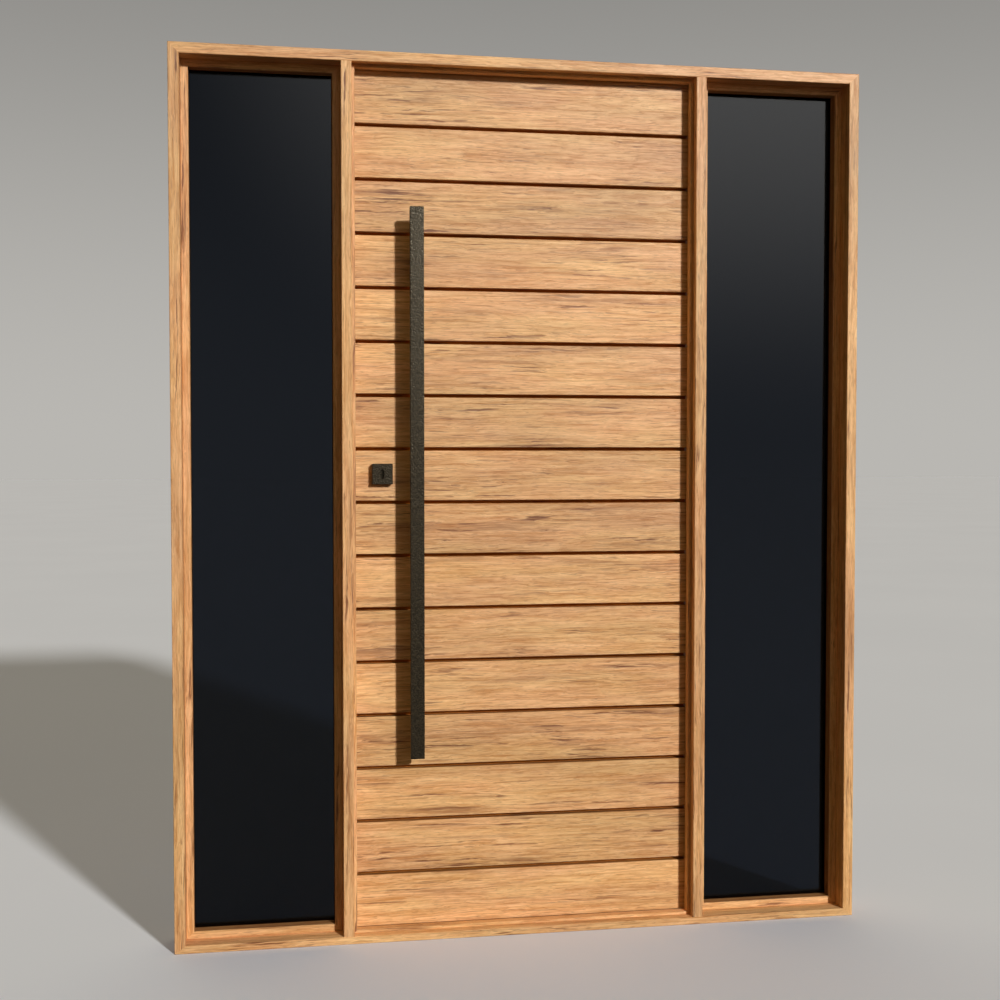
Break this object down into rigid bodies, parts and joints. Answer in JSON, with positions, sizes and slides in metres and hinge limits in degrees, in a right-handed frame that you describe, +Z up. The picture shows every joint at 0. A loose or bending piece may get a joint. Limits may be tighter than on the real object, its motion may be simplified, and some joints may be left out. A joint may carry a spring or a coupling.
{
  "type": "front door with sidelights",
  "caption": "Oak front door in a slim rectangular frame: horizontally boarded leaf hung on butt hinges, long black pull bar and square lock plate, tall dark sidelight on each side.",
  "frame": {"origin": "middle of the sill's underside", "axes": "+X to the right seen from outside, +Y into the building, +Z up"},
  "size_m": [1.667, 0.203, 2.1],
  "materials": {
    "oak_frame": "oiled oak, satin",
    "oak_boards": "oiled oak, satin",
    "black_coat": "fine-textured black powder coat",
    "satin_steel": "satin",
    "tinted_glass": "dark tinted, polished"
  },
  "bodies": {
    "frame": {"head": "oak_frame", "head_stop": "oak_frame", "hinge_1_frame_half": "satin_steel", "hinge_2_frame_half": "satin_steel", "hinge_3_frame_half": "satin_steel", "left_jamb": "oak_frame", "left_light_bottom_bead": "oak_frame", "left_light_glass": "tinted_glass", "left_light_inner_cross_beads": "oak_frame", "left_light_inner_side_beads": "oak_frame", "left_light_left_bead": "oak_frame", "left_light_right_bead": "oak_frame", "left_light_top_bead": "oak_frame", "left_mullion": "oak_frame", "left_stop": "oak_frame", "lock_keeper": "satin_steel", "right_jamb": "oak_frame", "right_light_bottom_bead": "oak_frame", "right_light_glass": "tinted_glass", "right_light_inner_cross_beads": "oak_frame", "right_light_inner_side_beads": "oak_frame", "right_light_left_bead": "oak_frame", "right_light_right_bead": "oak_frame", "right_light_top_bead": "oak_frame", "right_mullion": "oak_frame", "right_stop": "oak_frame", "sill": "oak_frame", "sill_stop": "oak_frame"},
    "leaf": {"hinge_1_door_half": "satin_steel", "hinge_2_door_half": "satin_steel", "hinge_3_door_half": "satin_steel", "inner_bar_posts": "black_coat", "inner_boards": "oak_boards", "inner_escutcheon": "black_coat", "inner_pull_bar": "black_coat", "leaf_core": "oak_boards", "lock_bolts": "satin_steel", "lock_faceplate": "satin_steel", "outer_bar_posts": "black_coat", "outer_boards": "oak_boards", "outer_escutcheon": "black_coat", "outer_pull_bar": "black_coat"}
  },
  "joints": [
    {"name": "door_hinge", "type": "hinge", "parent": "frame", "child": "leaf", "pos_m": [0.414, 0.0675, 1.05], "axis": [0, 0, -1], "range_deg": [0, 105]}
  ]
}
